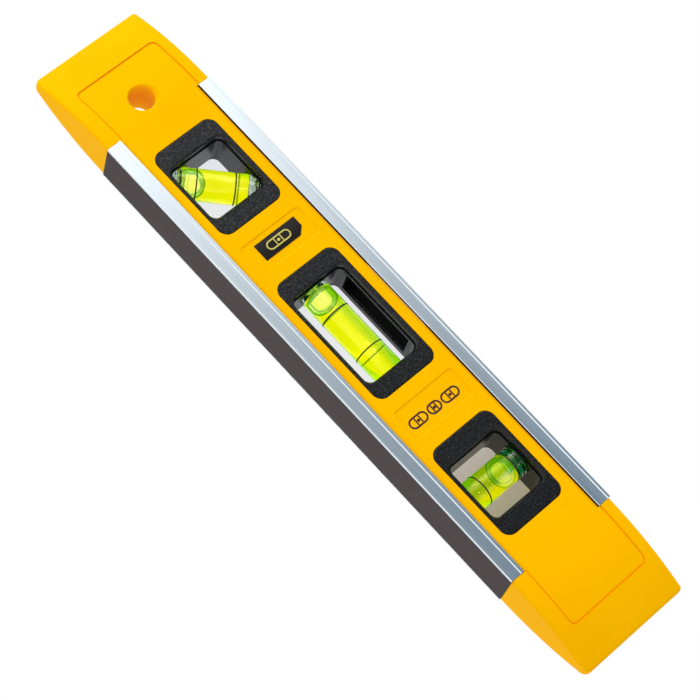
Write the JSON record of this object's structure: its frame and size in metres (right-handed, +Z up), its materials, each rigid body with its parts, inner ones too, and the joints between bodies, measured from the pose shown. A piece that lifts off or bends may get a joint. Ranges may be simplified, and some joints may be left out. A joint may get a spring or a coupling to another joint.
{
  "type": "spirit level",
  "caption": "Pocket torpedo spirit level: moulded body with boat-shaped ends, aluminium edge rails, magnetic base, and level, plumb and angle vials in through windows.",
  "frame": {"origin": "centre of the base, on the working face of the magnetic base rail", "axes": "+X along the length towards the plumb vial (the hang hole is at -X), +Z up to the top rail, -Y is the front face"},
  "size_m": [0.23, 0.016, 0.039],
  "materials": {
    "body_yellow": "satin moulded ABS, fine texture",
    "rail_aluminium": "satin anodised, drawn lines along the length",
    "magnet": "matt flexible magnet strip",
    "surround_black": "fine spark-eroded texture",
    "vial_clear": "polished clear acrylic",
    "vial_plug": "polished clear acrylic",
    "ring_print": "printed ring",
    "liquid": "fluorescent yellow-green spirit",
    "bubble": "air bubble",
    "label_black": "printed foil label"
  },
  "bodies": {
    "level_frame": {"main_body": "body_yellow", "top_rail": "rail_aluminium", "base_rail": "rail_aluminium", "magnet_strip": "magnet", "sight_liner": "surround_black", "label_plate": "label_black", "angle_surround_front": "surround_black", "angle_surround_back": "surround_black", "angle_vial_tube": "vial_clear", "angle_vial_plugs": "vial_plug", "angle_vial_rings": "ring_print", "angle_vial_liquid": "liquid", "level_surround_front": "surround_black", "level_surround_back": "surround_black", "level_vial_tube": "vial_clear", "level_vial_plugs": "vial_plug", "level_vial_rings": "ring_print", "level_vial_liquid": "liquid", "plumb_surround_front": "surround_black", "plumb_surround_back": "surround_black", "plumb_vial_tube": "vial_clear", "plumb_vial_plugs": "vial_plug", "plumb_vial_rings": "ring_print", "plumb_vial_liquid": "liquid"},
    "level_bubble_body": {"level_bubble": "bubble"},
    "plumb_bubble_body": {"plumb_bubble": "bubble"},
    "angle_bubble_body": {"angle_bubble": "bubble"}
  },
  "joints": [
    {"name": "level_bubble_slide", "type": "slide", "parent": "level_frame", "child": "level_bubble_body", "axis": [1, 0, 0], "range_m": [0, 0.0254]},
    {"name": "plumb_bubble_slide", "type": "slide", "parent": "level_frame", "child": "plumb_bubble_body", "axis": [0, 0, 1], "range_m": [-0.0085, 0]},
    {"name": "angle_bubble_slide", "type": "slide", "parent": "level_frame", "child": "angle_bubble_body", "axis": [0.7071, 0, 0.7071], "range_m": [0, 0.0116]}
  ]
}
